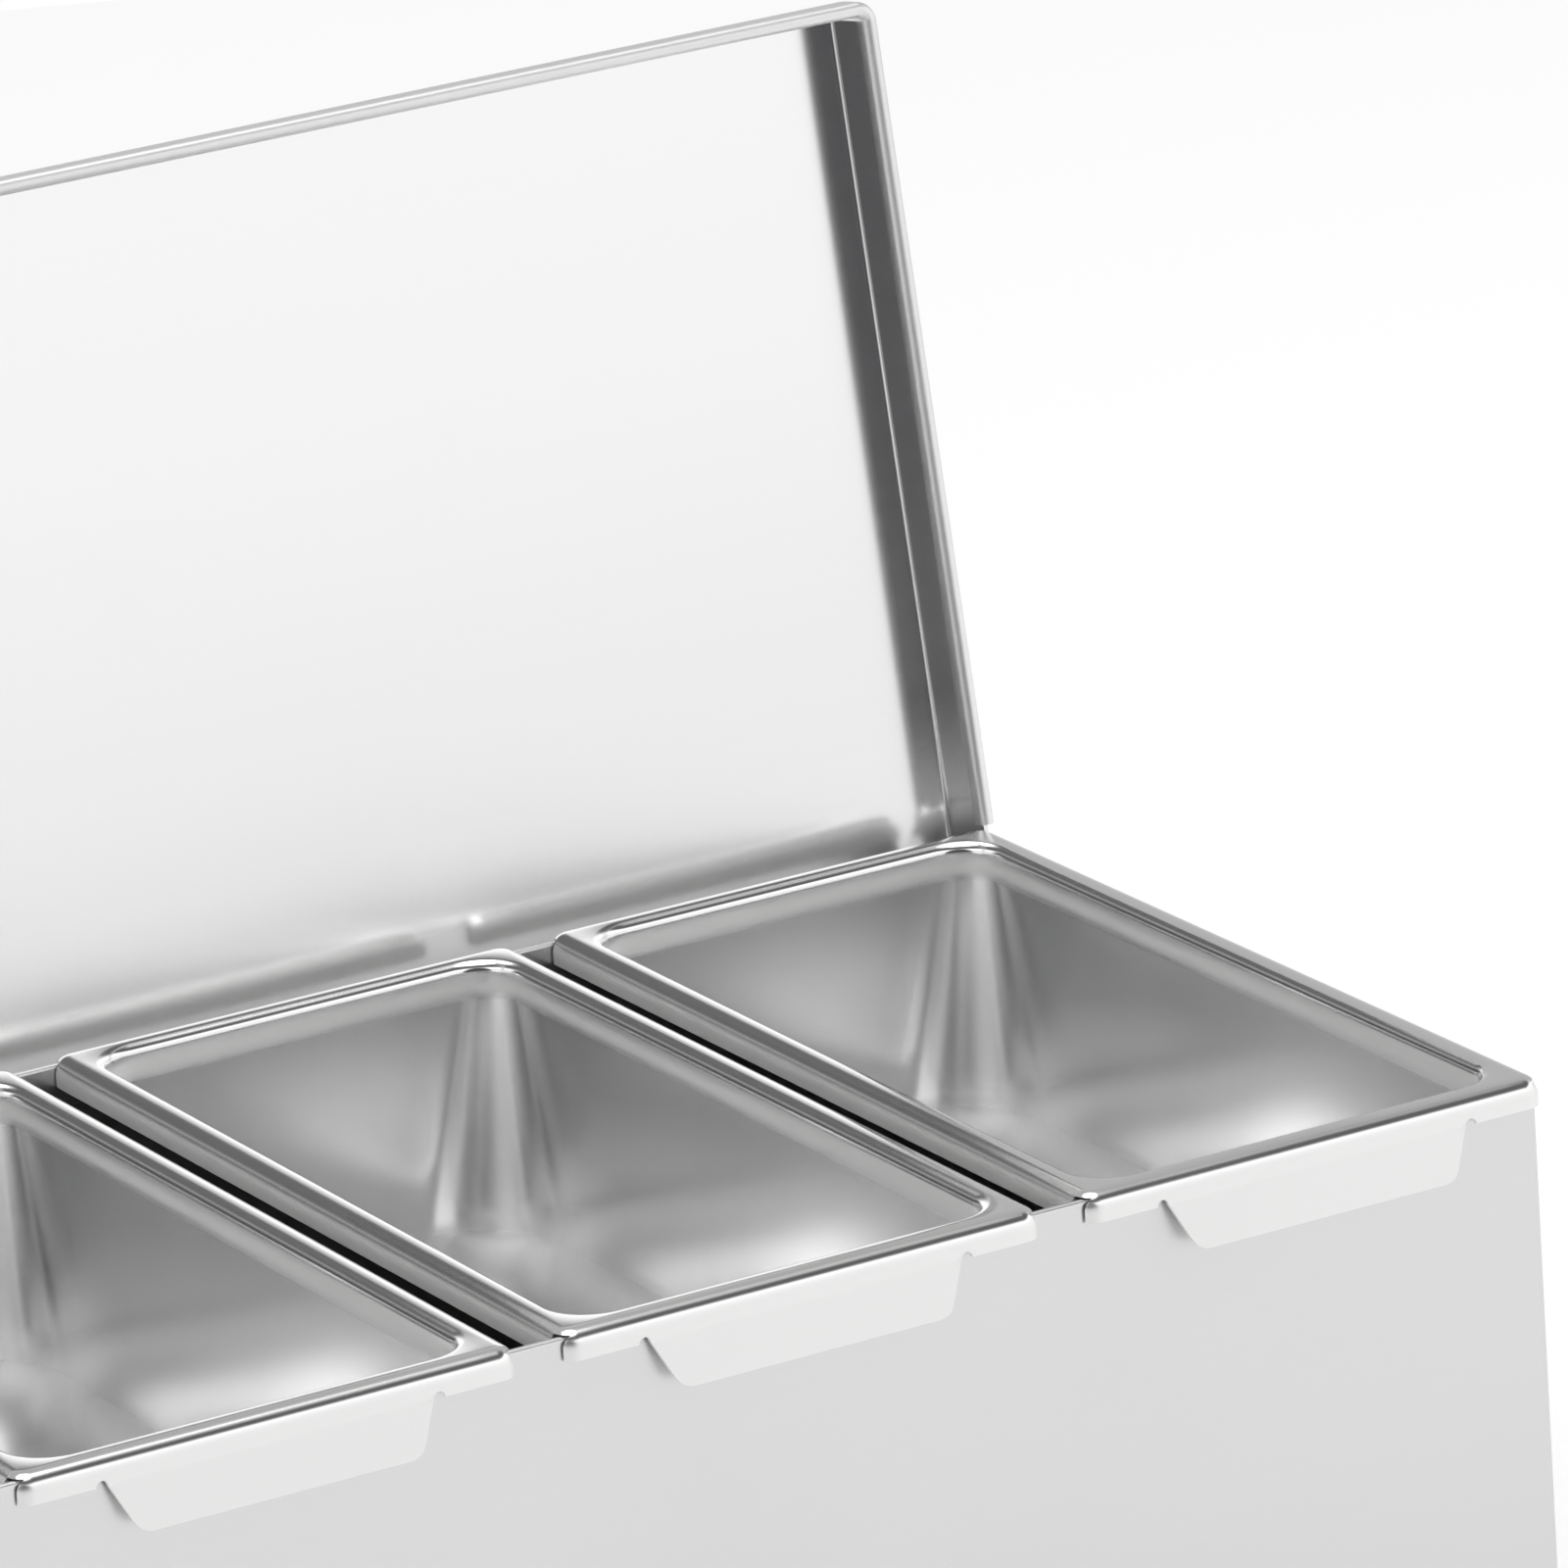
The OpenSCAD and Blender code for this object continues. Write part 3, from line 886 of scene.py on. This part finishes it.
def end_tree(tree, geometry, material):
    """Ends a geometry tree with real geometry in one material."""
    real = node(tree, "GeometryNodeRealizeInstances", in_0=geometry)
    paint = node(tree, "GeometryNodeSetMaterial", in_Geometry=real, in_Material=material)
    node(tree, "NodeGroupOutput", in_0=paint)
    return tree


def row_tree(material):
    """Geometry nodes that hang one pan at its place in the row."""
    tree, given = group_tree(
        "GeometryNodeTree", "hang_pan_in_row",
        [("Geometry", "Geometry"), ("Pitch", "Float"), ("Place", "Float"), ("Rim height", "Float")],
        [("Geometry", "Geometry")])
    along = maths(tree, "MULTIPLY", given["Pitch"], given["Place"])
    spot = node(tree, "ShaderNodeCombineXYZ", in_0=along, in_2=given["Rim height"])
    moved = node(tree, "GeometryNodeTransform", in_Geometry=given["Geometry"], in_Translation=spot)
    return end_tree(tree, moved, material)


class CADDY_OT_build_pans(bpy.types.Operator):
    """Builds the four lift-out pans"""

    bl_idname = "caddy.build_pans"
    bl_label = "Lift-out pans"

    def execute(self, context):
        settings = context.scene.caddy_pans
        pattern = pan_shell(settings)
        material = pan_steel(settings)
        tree = row_tree(material)
        for number, x in enumerate(PAN_X, start=1):
            hung = repeat_mesh(f"pan_{number}_shell", pattern.data, tree,
                               Pitch=PITCH * MM, Place=x / PITCH, Rim_height=RIM_Z * MM)
            settle(hung, f"pan_{number}", "pan_steel", material, f"pan_{number}")
        bpy.data.objects.remove(pattern)
        return {"FINISHED"}


# ---- lid ----

HEM_END = -LUG_REACH - 2.0  # rear end of the side hems, in front of the lugs
FOLD_ROW = 11  # row at a flange's foot: the cells below it belong to the hem


def opened(x, y, z):
    """A point of the lid drawn closed, hinge axis at the origin, where the open lid has it."""
    c, s = math.cos(OPEN_ANGLE), math.sin(OPEN_ANGLE)
    return (x, HINGE_Y + y * c + z * s, HINGE_Z - y * s + z * c)


def lug_bottom(y):
    """Lower edge of a lug at y: straight blend, disc round the pin, then up to the rear flange."""
    if y <= LUG_TOUCH[0]:
        t = (y + LUG_REACH) / (LUG_TOUCH[0] + LUG_REACH)
        return LID_EDGE + (LUG_TOUCH[1] - LID_EDGE) * t
    if y <= LUG_R:
        return -math.sqrt(max(LUG_R ** 2 - y * y, 0.0))
    return REAR_EDGE * (y - LUG_R) / (LID_REAR - LUG_R)


def lid_columns(bend):
    """Columns round the lid: foot point, outward direction and kind (hem, plain or rear)."""
    slit = bend + 0.35  # the side and rear flanges stay this far from their corner
    side_stop = LID_IN_X - slit
    first = math.degrees(LUG_TURN) - (360.0 if LUG_TURN > 0 else 0.0)
    lug_ys = [HEM_END + 0.02, -LUG_REACH, -16.0, -12.0]
    lug_ys += [LUG_R * c for c, _s in arc(first, 0.0, 16)]
    lug_ys += [10.5, 13.5, LID_REAR - slit]
    hem_ys = [HEM_END, -60.0, -100.0, -140.0, LID_FRONT + LID_R]
    mid_x, mid_y = LID_IN_X - LID_R, LID_FRONT + LID_R
    right = [(LID_IN_X, y, 1.0, 0.0, "plain") for y in reversed(lug_ys)]
    right += [(LID_IN_X, y, 1.0, 0.0, "hem") for y in hem_ys]
    right += [(mid_x + LID_R * c, mid_y + LID_R * s, c, s, "hem")
              for c, s in arc(0, -90, 12)[1:-1]]
    front = [(mid_x * (1 - k / 6), LID_FRONT, 0.0, -1.0, "hem") for k in range(13)]
    left = [(-x, y, -dx, dy, kind) for x, y, dx, dy, kind in reversed(right)]
    rear = [(side_stop * (k / 6 - 1), LID_REAR, 0.0, 1.0, "rear") for k in range(13)]
    return right + front + left + rear


def lid_rows(bend, foot):
    """Section of the lid at a column: (offset, height) on the inside and on the outside face."""
    outer = bend + SHEET
    high = LID_TOP - bend
    rows = [((-bend - 0.15, LID_TOP), (-bend - 0.15, LID_TOP + SHEET))]
    rows += [((bend * c - bend, high + bend * s), (outer * c - bend, high + outer * s))
             for c, s in arc(90, 0, 6)]
    for k in range(1, 5):
        z = high + (foot - high) * k / 4
        rows.append(((0.0, z), (SHEET, z)))
    wide, tight = HEM_W / 2, HEM_W / 2 - SHEET
    rows += [((wide + wide * c, foot + wide * s), (wide + tight * c, foot + tight * s))
             for c, s in arc(180, 360, 12)[1:]]
    for k in range(1, 4):
        z = foot + (LID_EDGE + LEAF_H - foot) * k / 3
        rows.append(((HEM_W, z), (HEM_W - SHEET, z)))
    return rows


def lid_foot(y, kind):
    """Height of a column's foot, where its flange ends or turns into the hem."""
    if kind == "hem":
        return LID_EDGE + HEM_W / 2
    if kind == "rear":
        return REAR_EDGE
    return lug_bottom(y) if y > -LUG_REACH else LID_EDGE


def lid_sheet(settings):
    """The lid's one sheet: plate, flanges, outward hems, rear flange and hinge lugs."""
    bend = settings.bend_r / MM
    columns = lid_columns(bend)
    kinds = [column[4] for column in columns]
    count = len(columns)
    near, far = [], []
    for x, y, dx, dy, kind in columns:
        section = lid_rows(bend, lid_foot(y, kind))
        near.append([opened(x + u * dx, y + u * dy, z) for (u, z), _far in section])
        far.append([opened(x + u * dx, y + u * dy, z) for _near, (u, z) in section])
    bm = bmesh.new()
    mark = bm.verts.layers.float.new(MARK)
    vn = [[bm.verts.new(p) for p in row] for row in zip(*near)]
    vf = [[bm.verts.new(p) for p in row] for row in zip(*far)]
    for row in vn[FOLD_ROW:] + vf[FOLD_ROW:]:
        for v, kind in zip(row, kinds):
            v[mark] = 1.0 if kind == "hem" else 0.0

    def has(r, c):
        """Whether the sheet has the cell between rows r and r + 1, columns c and c + 1."""
        a, b = kinds[c % count], kinds[(c + 1) % count]
        if not 0 <= r < len(vn) - 1:
            return False
        if "rear" in (a, b) and a != b:
            return r < 1
        return r < FOLD_ROW or a == b == "hem"

    for r in range(len(vn) - 1):
        for c in range(count):
            if not has(r, c):
                continue
            d = (c + 1) % count
            bm.faces.new((vn[r][c], vn[r][d], vn[r + 1][d], vn[r + 1][c]))
            bm.faces.new((vf[r][c], vf[r + 1][c], vf[r + 1][d], vf[r][d]))
            if not has(r + 1, c):
                bm.faces.new((vn[r + 1][c], vn[r + 1][d], vf[r + 1][d], vf[r + 1][c]))
            if not has(r, c - 1):
                bm.faces.new((vn[r][c], vn[r + 1][c], vf[r + 1][c], vf[r][c]))
            if not has(r, c + 1):
                bm.faces.new((vn[r][d], vf[r][d], vf[r + 1][d], vn[r + 1][d]))
    bm.faces.new(vn[0])
    bm.faces.new(vf[0][::-1])
    lid = mesh_object("lid_sheet", bm)
    return cut(lid, [pin_hole_cutter(side, 196.0, 200.0, PIN_R + PIN_PLAY, 32)
                     for side in (-1, 1)])


class CADDY_OT_build_lid(bpy.types.Operator):
    """Builds the flip-up lid with its hems and hinge lugs"""

    bl_idname = "caddy.build_lid"
    bl_label = "Flip-up lid"

    def execute(self, context):
        settings = context.scene.caddy_lid
        settle(lid_sheet(settings), "lid", "lid_steel", lid_steel(settings),
               "lid", "left_lug", "right_lug")
        return {"FINISHED"}


# ---- casing ----

WELD_INSET = 8.0  # from the ends of a lap to its first and last spot weld
WELD_RING = ((-0.1, 1.6), (0.01, 1.8), (0.05, 2.2), (0.03, 2.6), (-0.1, 2.8))  # (proud, radius)


def wall_outline(face, inward):
    """Wall section with its top edge turned a quarter inwards."""
    ease = 0.1
    top = CASING_H - SHEET
    points = [(face, ease), (face, top)]
    points += [(face + inward * SHEET * (1 + c), top + SHEET * s) for c, s in arc(180, 90, 6)[1:]]
    points += [(face + inward * SHEET, ease), (face + inward * (SHEET - ease), 0.0),
               (face + inward * ease, 0.0)]
    return points


def leaf_outline(face, inward):
    """Section of the leaf folded down inside a wall."""
    t, ease, slit = SHEET, 0.2, 0.05
    top, low = CASING_H - t, CASING_H - HEM_H
    points = [(t, CASING_H)]
    points += [(t * (1 + c), top + t * s) for c, s in arc(90, 0, 6)[1:]]
    points += [(2 * t, low + ease), (2 * t - ease, low), (t + ease, low),
               (t + slit, low + ease - slit), (t + slit, top - 2 * ease), (t, top)]
    return [(face + inward * u, z) for u, z in points]


def end_panel(name, side):
    """Front or rear wall with its hem and the laps spot-welded inside the side walls."""
    face, inward = side * CASING_Y, -side
    half = CASING_X - SHEET
    parts = [strip_object(name, outline(face, inward), half, "X")
             for outline in (wall_outline, leaf_outline)]
    parts += [slab(name, (x * half, face + inward * SHEET, LAP_Z[0]),
                   (x * (half - SHEET), face + inward * LAP, LAP_Z[1])) for x in (-1, 1)]
    return join(name, parts)


def side_panel(name, side):
    """Side wall with its shorter hem and the hole for the hinge pin."""
    face, inward = side * CASING_X, -side
    parts = [strip_object(name, wall_outline(face, inward), CASING_Y, "Y"),
             strip_object(name, leaf_outline(face, inward), CASING_Y - SIDE_HEM_SHORT, "Y")]
    return cut(join(name, parts), [pin_hole_cutter(side, 193.0, 196.0, PIN_R, 48)])


def base_tray(bend):
    """Base panel: a shallow tray with a bend round its floor."""
    hx, hy, corner = CASING_X - SHEET, CASING_Y - SHEET, 0.4
    spots = [k / 4 - 1 for k in range(9)]
    plan = column_plan(spots, spots, spots, 6)
    top, low = [], []
    for z in (BASE_FLANGE, 7.0, 4.0):
        low.append(round_loop(hx, hy, bend + corner, z, plan))
        top.append(round_loop(hx - SHEET, hy - SHEET, bend + corner - SHEET, z, plan))
    for c, s in arc(0, 90, 6):
        for grid, r in ((low, bend), (top, bend - SHEET)):
            out, z = r * c, bend - r * s
            grid.append(round_loop(hx - bend + out, hy - bend + out, corner + out, z, plan))
    return tray_object("base_tray", top, low)


def weld_tree(material):
    """Geometry nodes that repeat one spot-weld ring up a corner."""
    tree, given = group_tree(
        "GeometryNodeTree", "spot_weld_row",
        [("Geometry", "Geometry"), ("Count", "Int"), ("Spacing", "Float"), ("Start height", "Float")],
        [("Geometry", "Geometry")])
    first = node(tree, "ShaderNodeCombineXYZ", in_2=given["Start height"])
    gap = node(tree, "ShaderNodeCombineXYZ", in_2=given["Spacing"])
    line = node(tree, "GeometryNodeMeshLine", in_Count=given["Count"], in_Start_Location=first,
                in_Offset=gap)
    spread = node(tree, "GeometryNodeInstanceOnPoints", in_Points=line,
                  in_Instance=given["Geometry"])
    return end_tree(tree, spread, material)


class CADDY_OT_build_casing(bpy.types.Operator):
    """Builds the casing's folded walls, base and spot welds"""

    bl_idname = "caddy.build_casing"
    bl_label = "Casing"

    def execute(self, context):
        settings = context.scene.caddy_casing
        material = casing_steel(settings)
        for name, build, side in (("front_panel", end_panel, -1), ("back_panel", end_panel, 1),
                                  ("left_side_panel", side_panel, -1),
                                  ("right_side_panel", side_panel, 1)):
            settle(build(f"{name}_sheet", side), "casing", "casing_steel", material, name)
        settle(base_tray(settings.base_bend / MM), "casing", "casing_steel", material, "base_panel")
        tree = weld_tree(material)
        count = settings.weld_count
        spacing = (LAP_Z[1] - LAP_Z[0] - 2 * WELD_INSET) / (count - 1)
        profile = [(CASING_X + proud, radius) for proud, radius in WELD_RING]
        for side in (-1, 1):
            for end in (-1, 1):
                lap_y = end * (CASING_Y - (SHEET + LAP) / 2)
                ring = lathe("weld_ring", profile, side, (lap_y, 0.0), 28)
                weld = repeat_mesh(f"spot_welds_{side + 1}{end + 1}", ring.data, tree,
                                   Count=count, Spacing=spacing * MM,
                                   Start_height=(LAP_Z[0] + WELD_INSET) * MM)
                bpy.data.objects.remove(ring)
                settle(weld, "casing", "casing_steel", material)
        return {"FINISHED"}


# ---- hinge fittings ----

RIVET_END = ((192.3, 0.0), (192.3, 1.1), (192.42, 1.75), (192.7, 2.3), (193.0, 2.75),
             (193.14, 2.95), (193.2, 2.98), (193.2, PIN_R))


def pin_profile():
    """Half section of a hinge pin along its axis: riveted end, shank, domed head."""
    brim, top, dome = 0.12, 1.5, 7.5
    points = [*RIVET_END, (PIN_HEAD, PIN_R), (PIN_HEAD, 4.3), (PIN_HEAD + 0.04, 4.42),
              (PIN_HEAD + brim, 4.4)]
    for k in range(1, 9):
        rise = brim + (top - brim) * (1 - (1 - k / 8) ** 2)
        points.append((PIN_HEAD + rise, math.sqrt(max(dome ** 2 - (rise + dome - top) ** 2, 0.0))))
    return points


def ring_profile(start, end, radius, ease):
    """Half section of a spacer or washer with eased edges."""
    most = 0.3 * ease
    return [(start, PIN_R), (start, radius - ease), (start + most, radius - most),
            (start + ease, radius), (end - ease, radius), (end - most, radius - most),
            (end, radius - ease), (end, PIN_R)]


class CADDY_OT_build_hinges(bpy.types.Operator):
    """Builds the hinge pins, spacers and washers"""

    bl_idname = "caddy.build_hinges"
    bl_label = "Hinge fittings"

    def execute(self, context):
        polished = fastener_steel()
        plastic = nylon(context.scene.caddy_casing)
        wall = CASING_X - SHEET
        washer = ring_profile(wall - WASHER_T, wall, WASHER_R, 0.15)
        spacer = ring_profile(CASING_X, LID_IN_X - TURN_GAP, SPACER_R, 0.3)
        fittings = (("pin_turned", "hinge_pin", pin_profile(), "fastener_steel", polished),
                    ("washer_disc", "washer", washer, "fastener_steel", polished),
                    ("spacer_bush", "spacer", spacer, "spacer_nylon", plastic))
        for hand, side in (("left", -1), ("right", 1)):
            for piece, solid, profile, slot, material in fittings:
                turned = lathe(f"{hand}_{piece}", profile, side)
                settle(turned, "casing", slot, material, f"{hand}_{solid}")
        return {"FINISHED"}


# ---- panel and registration ----

class CADDY_PT_sidebar(bpy.types.Panel):
    """Lists the build steps and their settings"""

    bl_label = "Condiment Caddy"
    bl_space_type = "VIEW_3D"
    bl_region_type = "UI"
    bl_category = "Caddy"

    def draw(self, context):
        column = self.layout.column()
        for operator, settings in BUILD_STEPS:
            column.operator(operator.bl_idname)
            group = getattr(context.scene, settings)
            for key in group.__annotations__:
                column.prop(group, key)


SETTINGS = (
    ("caddy_stage", CaddyStageSettings),
    ("caddy_pans", CaddyPanSettings),
    ("caddy_lid", CaddyLidSettings),
    ("caddy_casing", CaddyCasingSettings),
)
BUILD_STEPS = (
    (CADDY_OT_build_stage, "caddy_stage"),
    (CADDY_OT_build_casing, "caddy_casing"),
    (CADDY_OT_build_pans, "caddy_pans"),
    (CADDY_OT_build_lid, "caddy_lid"),
    (CADDY_OT_build_hinges, "caddy_casing"),
)
CLASSES = (*(operator for operator, _settings in BUILD_STEPS), CADDY_PT_sidebar)


def register():
    for key, kind in SETTINGS:
        bpy.utils.register_class(kind)
        setattr(bpy.types.Scene, key, bpy.props.PointerProperty(type=kind))
    for kind in CLASSES:
        bpy.utils.register_class(kind)


def unregister():
    for kind in reversed(CLASSES):
        bpy.utils.unregister_class(kind)
    for key, kind in reversed(SETTINGS):
        delattr(bpy.types.Scene, key)
        bpy.utils.unregister_class(kind)


def main():
    register()
    bpy.ops.caddy.build_stage()
    bpy.ops.caddy.build_casing()
    bpy.ops.caddy.build_pans()
    bpy.ops.caddy.build_lid()
    bpy.ops.caddy.build_hinges()


if __name__ == "__main__":
    main()
